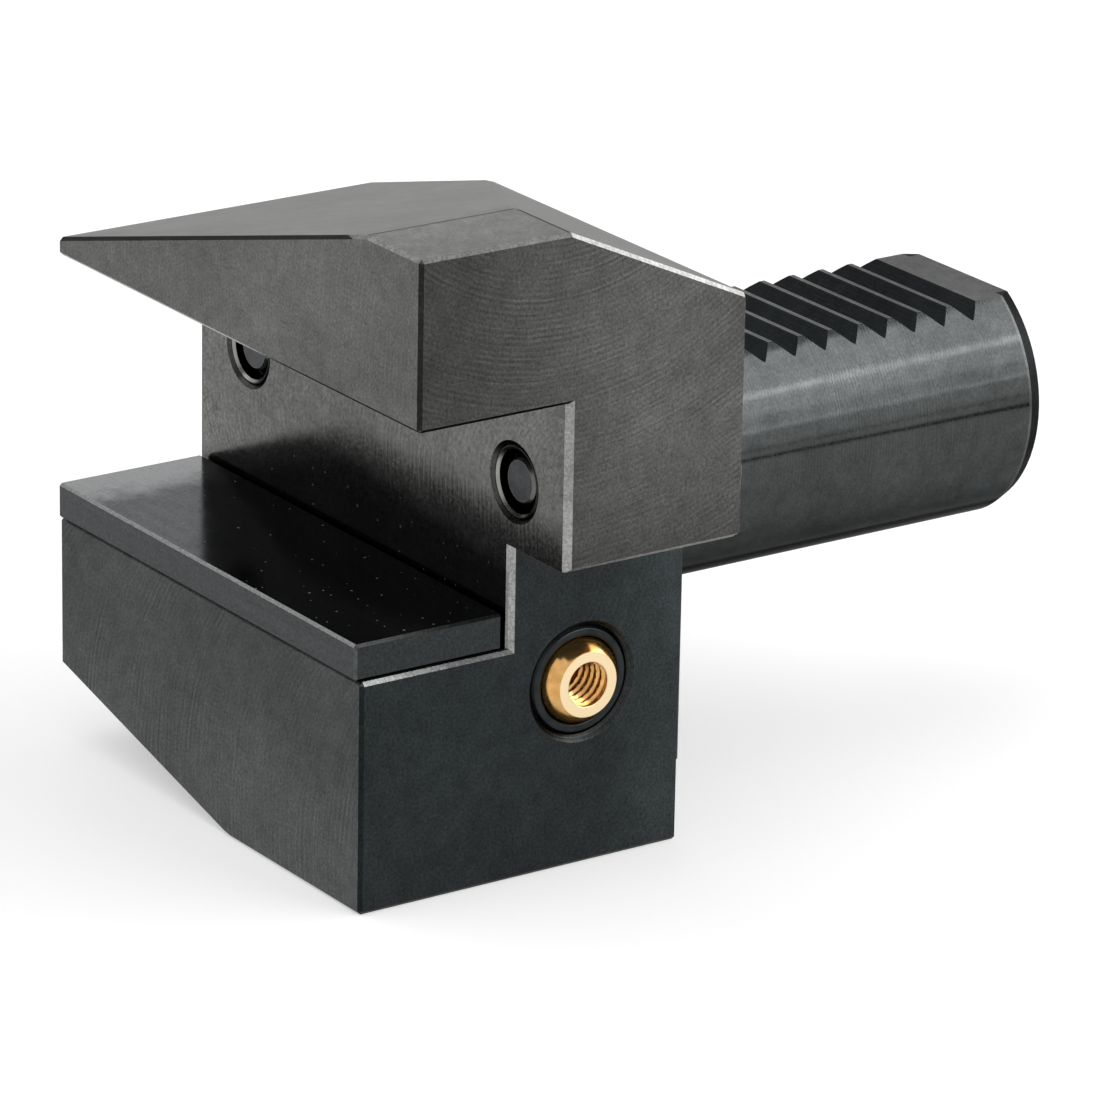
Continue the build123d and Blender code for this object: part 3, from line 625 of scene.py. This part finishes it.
def roundedProfile(corners, rows, rounding, closed=False):
    # walks the polyline through the corners at equal steps, then averages neighbours over the rounding
    # length, which turns each corner into a small radius; a corner may carry any number of values
    path = np.array(corners, float)
    if closed:
        path = np.vstack([path, path[:1]])
    steps = np.r_[0, np.cumsum(np.linalg.norm(np.diff(path, axis=0), axis=1))]
    where = np.linspace(0, steps[-1], rows + 1 if closed else rows)
    values = np.stack([np.interp(where, steps, path[:, k]) for k in range(path.shape[1])], axis=1)
    half = max(1, int(round(rounding / steps[-1] * rows / 2)))
    if closed:
        values = values[:-1]
        return sum(np.roll(values, shift, axis=0) for shift in range(-half, half + 1)) / (2 * half + 1)
    padded = np.vstack([np.repeat(values[:1], half, axis=0), values, np.repeat(values[-1:], half, axis=0)])
    smooth = sum(padded[shift:shift + rows] for shift in range(2 * half + 1)) / (2 * half + 1)
    smooth[0], smooth[-1] = values[0], values[-1]
    return smooth


# depth of a metric thread, in pitches: inside a hole, and on a screw
innerThreadDepth = 0.5413
outerThreadDepth = 0.6134


def threadRidge(along, angle, pitch):
    # a 60 degree thread: how far along the axis a point is from the ridge's middle, in pitches, is
    # along / pitch less the share of a turn; the ridge is flat on top for 1/8 pitch and falls straight
    # to its root
    turn = np.mod(along / pitch - angle / tau, 1.0)
    return np.clip((0.375 - np.abs(turn - 0.5)) / 0.3125, 0, 1)


def hexagonRadius(angle, apothem):
    # distance from the middle to a hexagon's side in this direction: apothem over the cosine of the
    # angle to the nearest side's middle
    return apothem / np.cos(np.mod(angle + pi / 6, pi / 3) - pi / 6)


def spun(profile, columns):
    # the same profile at every angle: each row's place along the axis, and its radius
    return np.repeat(profile[:, :1], columns, axis=1), np.repeat(profile[:, 1:2], columns, axis=1)


def threadedScrew(corners, rounding, shape):
    # each corner: along the axis, share of the hexagon's radius, share of the round radius, thread or none;
    # radius = the first share times the hexagon + the second, and a thread cuts it down to its ridge
    profile = roundedProfile(corners, shape["rows"], rounding)
    angle = np.arange(shape["columns"]) / shape["columns"] * tau
    along = np.repeat(profile[:, :1], shape["columns"], axis=1)
    radius = profile[:, 1:2] * hexagonRadius(angle, 1.0) + profile[:, 2:3]
    minor = shape["radius"] - outerThreadDepth * shape["pitch"]
    flank = minor + (shape["radius"] - minor) * threadRidge(along, angle, shape["pitch"])
    return along, np.where(profile[:, 3:4] > 0.5, np.minimum(radius, flank), radius)


def turnedPiece(name, along, radius, centre, axis, closed, bareAndHighlight=None, sharpAngle=32):
    # point(i, j) = centre + along(i, j) of the axis + radius(i, j) of (cos t of one side + sin t of the
    # other), with t = a full turn times j over the columns; a closed profile joins its last row to its
    # first, an open one starts and ends on the axis, where one point closes it; the last argument is each
    # row's share of lost finish and painted highlight
    rows, columns = radius.shape
    angle = np.arange(columns) / columns * tau
    axis = np.array(Vector(axis).normalized())
    sideOne = np.array(Vector(axis).orthogonal().normalized())
    sideTwo = np.cross(axis, sideOne)
    around = np.cos(angle)[:, None] * sideOne + np.sin(angle)[:, None] * sideTwo
    points = np.array(centre, float) + along[..., None] * axis + radius[..., None] * around
    points = points.reshape(-1, 3) * mm
    row = np.arange(rows if closed else rows - 1)
    here = row[:, None] * columns + np.arange(columns)
    beside = row[:, None] * columns + np.roll(np.arange(columns), -1)
    above = (row[:, None] + 1) % rows * columns
    quads = np.stack([here, beside, above + np.roll(np.arange(columns), -1), above + np.arange(columns)],
                     axis=-1)
    profileStep = np.r_[0, np.cumsum(np.hypot(np.diff(along.mean(1)), np.diff(radius.mean(1))))]
    uvRows = np.broadcast_to(profileStep[:, None], radius.shape).reshape(-1)
    uvColumns = np.broadcast_to(angle, radius.shape).reshape(-1)
    faces = quads.reshape(-1, 4)
    fans = []
    if not closed:
        # the rows next to the axis shrink to one point each
        first, last = len(points), len(points) + 1
        ends = np.array(centre, float) + np.array([along[0].mean(), along[-1].mean()])[:, None] * axis
        points = np.vstack([points, ends * mm])
        uvRows = np.r_[uvRows, uvRows[0], uvRows[-1]]
        uvColumns = np.r_[uvColumns, 0, 0]
        ring = np.arange(columns)
        nextRing = np.roll(ring, -1)
        fans = np.vstack([
            np.stack([np.full(columns, first), nextRing, ring], axis=-1),
            np.stack([np.full(columns, last), (rows - 1) * columns + ring, (rows - 1) * columns + nextRing],
                     axis=-1),
        ])
    # six times the signed volume: the sum over triangles of corner . (corner x corner)
    tris = np.vstack([faces[:, [0, 1, 2]], faces[:, [0, 2, 3]]] + ([fans] if len(fans) else []))
    a, b, c = points[tris[:, 0]], points[tris[:, 1]], points[tris[:, 2]]
    if np.einsum("ij,ij->i", a, np.cross(b, c)).sum() < 0:
        faces = faces[:, ::-1]
        fans = fans[:, ::-1] if len(fans) else fans
    piece = addMesh(name, points.tolist(), faces.tolist() + (fans.tolist() if len(fans) else []))
    mesh = piece.data
    uvLayer = mesh.uv_layers.new(name="profile")
    corners = np.zeros(len(mesh.loops), np.int32)
    mesh.loops.foreach_get("vertex_index", corners)
    uvLayer.data.foreach_set("uv", np.stack([uvColumns[corners], uvRows[corners]],
                                            axis=1).astype(np.float32).ravel())
    if bareAndHighlight is not None:
        bareAndHighlightValues = np.broadcast_to(bareAndHighlight[:, None], radius.shape).reshape(-1)
        bareAndHighlightValues = np.r_[bareAndHighlightValues, np.zeros(len(points) - len(bareAndHighlightValues))]
        mesh.attributes.new("bareAndHighlight", "FLOAT", "POINT").data.foreach_set("value",
                                                                       bareAndHighlightValues.astype(np.float32))
    mesh.shade_smooth()
    mesh.set_sharp_from_angle(angle=radians(sharpAngle))
    return piece


def dress(piece, material, body, slot, *replaced):
    piece.data.materials.append(material)
    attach(piece, body)
    if replaced:
        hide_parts(*replaced)


# ball nozzle: a truncated brass ball with a threaded jet hole

ballNozzle = {
    "centre": nozzleCentre,
    "ballRadius": 5.0,
    "frontFlat": 3.5,
    "rearFlat": 4.3,
    "threadRadius": 2.95,   # M6
    "threadPitch": 1.0,
    "threadLength": 5.9,
    "mouthRadius": 2.5,
    "channelRadius": 1.5,
    "rows": 400,
    "columns": 160,
}

b = ballNozzle
crest = b["threadRadius"] - innerThreadDepth * b["threadPitch"]
arc = np.linspace(np.arccos(b["frontFlat"] / b["ballRadius"]), np.arccos(-b["rearFlat"] / b["ballRadius"]),
                  60)
# profile corners: along the axis, radius, and a painted highlight share, 1 on the pale flat front and its
# mouth
outside = [(b["ballRadius"] * cos(t), b["ballRadius"] * sin(t), 0) for t in arc]
threadEnd = b["frontFlat"] - b["threadLength"]
flatEdge = b["ballRadius"] * sin(arc[0])
profile = outside + [
    (-b["rearFlat"], b["channelRadius"], 0),
    (threadEnd - 0.6, b["channelRadius"], 0),
    (threadEnd, crest, 0),
    (b["frontFlat"] - (b["mouthRadius"] - crest), crest, 0),
    (b["frontFlat"], b["mouthRadius"], 1),
    (b["frontFlat"], flatEdge - 0.05, 1),
]
profile = roundedProfile(profile, b["rows"], 0.3, closed=True)
angle = np.arange(b["columns"]) / b["columns"] * tau
along, radius = spun(profile, b["columns"])
groove = b["threadRadius"] - (b["threadRadius"] - crest) * threadRidge(along, angle, b["threadPitch"])
inThread = (along > threadEnd + 0.1) & (radius < b["mouthRadius"] + 0.1)
fadeIn = np.clip((along - threadEnd - 0.1) / 0.8, 0, 1)
fadeOut = np.clip((b["frontFlat"] - 0.1 - along) / 0.7, 0, 1)
groove = crest + (groove - crest) * fadeIn * fadeOut
radius = np.where(inThread, np.maximum(radius, groove), radius)
nozzleBall = turnedPiece("nozzleBall", along, radius, b["centre"], (1, 0, 0), closed=True,
                         bareAndHighlight=profile[:, 2])
dress(nozzleBall, turnedBrass, "nozzle_ball", "brass", "nozzle_ball")

# ring that holds the ball: cylindrical behind the ball's middle, cupped in front of it

ballRing = {
    "cupRadius": 5.05,
    "front": 2.0,
    "back": -3.1,
    "outside": 6.0,
    "edgeBreak": 0.4,
    "lipBevel": 0.25,
    "rows": 150,
    "columns": 160,
}

r = ballRing
lipStart = r["front"] - r["lipBevel"]
cup = [(lipStart * t, sqrt(r["cupRadius"] ** 2 - (lipStart * t) ** 2)) for t in np.linspace(1, 0, 12)]
profile = [(r["front"], cup[0][1] + r["lipBevel"] * 0.8)] + cup + [
    (r["back"], r["cupRadius"]),
    (r["back"], r["outside"] - 0.01),
    (r["front"] - r["edgeBreak"], r["outside"] - 0.01),
    (r["front"], r["outside"] - r["edgeBreak"]),
]
profile = roundedProfile(profile, r["rows"], 0.14, closed=True)
along, radius = spun(profile, r["columns"])
nozzleRing = turnedPiece("nozzleRing", along, radius, b["centre"], (1, 0, 0), closed=True)
dress(nozzleRing, blackRingSteel, "holder", "ring_steel", "nozzle_ring")
print("ball nozzle made")

# ring seals: round section with the thin flash line that the mould leaves inside and outside

ringSeals = {
    # name: centre, axis, ring radius, section radius, node
    "nozzleSeal": ((nozzleCentre[0] - 4.85, *nozzleCentre[1:]), (1, 0, 0), 3.6, 1.0, "nozzle_seal"),
    "inletSeal": ((25.5, -0.45, 9), (0, 1, 0), 3.95, 0.75, "inlet_seal"),
    "shankSeal": ((0, -0.85, 0), (0, 1, 0), 16.25, 1.25, "shank_seal"),
}
flashHeight = 0.03

for name, (centre, axis, ringRadius, sectionRadius, node) in ringSeals.items():
    turn = np.arange(64) / 64 * tau
    flash = np.exp(-(np.mod(turn + pi / 2, pi) - pi / 2) ** 2 / 0.004)
    section = sectionRadius - flashHeight * (1 - flash)
    columns = 240 if ringRadius > 10 else 128
    profile = np.stack([section * np.sin(turn), ringRadius + section * np.cos(turn)], axis=1)
    along, radius = spun(profile, columns)
    seal = turnedPiece(name, along, radius, centre, axis, closed=True)
    dress(seal, rubber, "holder", "rubber", node)
print("seals made")

# screws: hexagon socket, bevelled ends, rolled thread, and a dog point on the clamp screws

clampScrews = {
    "places": {1: -25.0, 2: -5.0, 3: 15.0},
    "bottom": -25.6,
    "shoulder": -9.6,
    "top": -7.5,
    "radius": 4.94,         # M10
    "pitch": 1.5,
    "dogRadius": 3.25,
    "socket": 2.5,          # half of the 5 mm key
    "socketDepth": 5.0,
    "rows": 340,
    "columns": 120,
}

c = clampScrews
profile = [
    (c["bottom"] + c["socketDepth"] + 0.9, 0, 0, 0),
    (c["bottom"] + c["socketDepth"], c["socket"] * 0.96, 0, 0),
    (c["bottom"] + c["socketDepth"] - 0.05, c["socket"], 0, 0),
    (c["bottom"] + 0.3, c["socket"], 0, 0),
    (c["bottom"], c["socket"] * 0.5, c["socket"] * 0.62, 0),
    (c["bottom"], 0, c["radius"] - 0.85, 0),
    (c["bottom"] + 0.85, 0, c["radius"], 1),
    (c["shoulder"] - 0.8, 0, c["radius"], 1),
    (c["shoulder"], 0, c["radius"] - 0.9, 1),
    (c["shoulder"] + 0.02, 0, c["dogRadius"], 0),
    (c["top"] - 0.35, 0, c["dogRadius"], 0),
    (c["top"], 0, c["dogRadius"] - 0.35, 0),
    (c["top"], 0, 0, 0),
]
along, radius = threadedScrew(profile, 0.2, c)
for number, x in c["places"].items():
    screw = turnedPiece(f"clampScrew{number}", along, radius, (x, screwLine, 0), (0, 0, 1), closed=False)
    dress(screw, blackScrewSteel, f"clamp_screw_{number}", "screw_steel", f"clamp_screw_{number}")

inletScrewShape = {
    "centre": (-25.5, -0.5, 9),
    "length": 5.0,
    "radius": 2.98,         # M6
    "pitch": 1.0,
    "socket": 1.5,          # half of the 3 mm key
    "socketDepth": 2.5,
    "rows": 220,
    "columns": 120,
}

s = inletScrewShape
profile = [
    (-s["socketDepth"] - 0.6, 0, 0, 0),
    (-s["socketDepth"], s["socket"] * 0.96, 0, 0),
    (-s["socketDepth"] + 0.05, s["socket"], 0, 0),
    (-0.2, s["socket"], 0, 0),
    (0, s["socket"] * 0.5, s["socket"] * 0.65, 0),
    (0, 0, s["radius"] - 0.5, 0),
    (-0.5, 0, s["radius"], 1),
    (-s["length"] + 0.5, 0, s["radius"], 1),
    (-s["length"], 0, s["radius"] - 0.5, 0),
    (-s["length"], 0, 0, 0),
]
along, radius = threadedScrew(profile, 0.12, s)
inletScrew = turnedPiece("inletScrew", along, radius, s["centre"], (0, 1, 0), closed=False)
dress(inletScrew, blackScrewSteel, "holder", "screw_steel", "inlet_screw")
print("screws made")

# tapped holes: the thread that shows in each empty length of bore, a thin sleeve sunk in the bore's wall;
# the first screw fills its short bore, so it has none

tappedHoles = {
    # name: centre, axis, from, to along the axis, thread radius, pitch
    "tappedHole2": ((-5, screwLine, 0), (0, 0, 1), -31.95, -26.1, 5.0, 1.5),
    "tappedHole3": ((15, screwLine, 0), (0, 0, 1), -34.4, -26.1, 5.0, 1.5),
    "tappedInlet": ((25.5, 0, 9), (0, 1, 0), -5.4, -1.4, 3.0, 1.0),
}

holeRows, holeColumns = 240, 120

for name, (centre, axis, start, end, threadRadius, pitch) in tappedHoles.items():
    crest = threadRadius - innerThreadDepth * pitch
    bevel = threadRadius - crest + 0.05
    profile = [
        (start, threadRadius + 0.15),
        (start, threadRadius + 0.05),
        (start + bevel, crest),
        (end - bevel, crest),
        (end, threadRadius + 0.05),
        (end, threadRadius + 0.15),
    ]
    profile = roundedProfile(profile, holeRows, 0.06, closed=True)
    angle = np.arange(holeColumns) / holeColumns * tau
    along, radius = spun(profile, holeColumns)
    root = threadRadius - 0.02
    flank = root - (root - crest) * threadRidge(along, angle, pitch)
    radius = np.where(radius < root, np.maximum(radius, flank), radius)
    hole = turnedPiece(name, along, radius, centre, axis, closed=True)
    dress(hole, blackScrewSteel, "holder", "body_steel")
print("tapped holes made")

# plugs: a pressed-in sleeve, spread by a core, with a turned groove between them

plugs = {
    "places": {
        # name: centre of the mouth, direction out of the hole
        "right": (plugMouth, (0, -1, 0)),
        "left": ((-plugMouth[0], *plugMouth[1:]), (0, -1, 0)),
        "cross": ((-35, -12.7, 9), (-1, 0, 0)),
        "riser": ((10, -12.7, -35), (0, 0, -1)),
    },
    "sleeveRadius": 3.99,
    "wall": 0.6,
    "length": 5.0,
    "recess": 0.2,
    "mouthDepth": 2.0,
    "coreRadius": 2.5,
    "coreRecess": 0.7,
    "coreBack": 4.0,
    "rimBreak": 0.15,
    "mouthBevel": 0.28,
    "columns": 128,
}

p = plugs
inner = p["sleeveRadius"] - p["wall"]
# profile corners: along the axis, radius, and share of bare edge and painted highlight, 1 on the sleeve's
# mouth bevel and the core's front bevel
sleeve = [
    (-p["length"], 0, 0),
    (-p["length"], p["sleeveRadius"] - 0.3, 0),
    (-p["length"] + 0.3, p["sleeveRadius"], 0),
    (-p["recess"] - p["rimBreak"], p["sleeveRadius"], 0),
    (-p["recess"], p["sleeveRadius"] - p["rimBreak"], 0),
    (-p["recess"], inner + p["mouthBevel"] + 0.02, 0),
    (-p["recess"] - 0.02, inner + p["mouthBevel"], 1),
    (-p["recess"] - p["mouthBevel"], inner, 1),
    (-p["recess"] - p["mouthBevel"] - 0.05, inner, 0),
    (-p["recess"] - p["mouthDepth"], inner, 0),
    (-p["recess"] - p["mouthDepth"], p["coreRadius"] + 0.01, 0),
    (-p["coreBack"] - 0.01, p["coreRadius"] + 0.01, 0),
    (-p["coreBack"] - 0.01, 0, 0),
]
core = [
    (-p["coreBack"], 0, 0),
    (-p["coreBack"], p["coreRadius"] - 0.3, 0),
    (-p["coreBack"] + 0.3, p["coreRadius"], 0),
    (-p["coreRecess"] - 0.35, p["coreRadius"], 0),
    (-p["coreRecess"] - 0.3, p["coreRadius"], 1),
    (-p["coreRecess"], p["coreRadius"] - 0.3, 1),
    (-p["coreRecess"], p["coreRadius"] - 0.4, 0),
    (-p["coreRecess"], 0, 0),
]
for kind, corners, rows, material in (("Sleeve", sleeve, 260, plugSteel), ("Core", core, 160, coreSteel)):
    profile = roundedProfile(corners, rows, 0.08)
    along, radius = spun(profile, p["columns"])
    for name, (centre, direction) in p["places"].items():
        piece = f"plug{kind}{name.capitalize()}"
        plug = turnedPiece(piece, along, radius, centre, direction, closed=False, bareAndHighlight=profile[:, 2])
        dress(plug, material, "holder", "plug_steel", f"plug_{kind.lower()}_{name}")
print("plugs made")
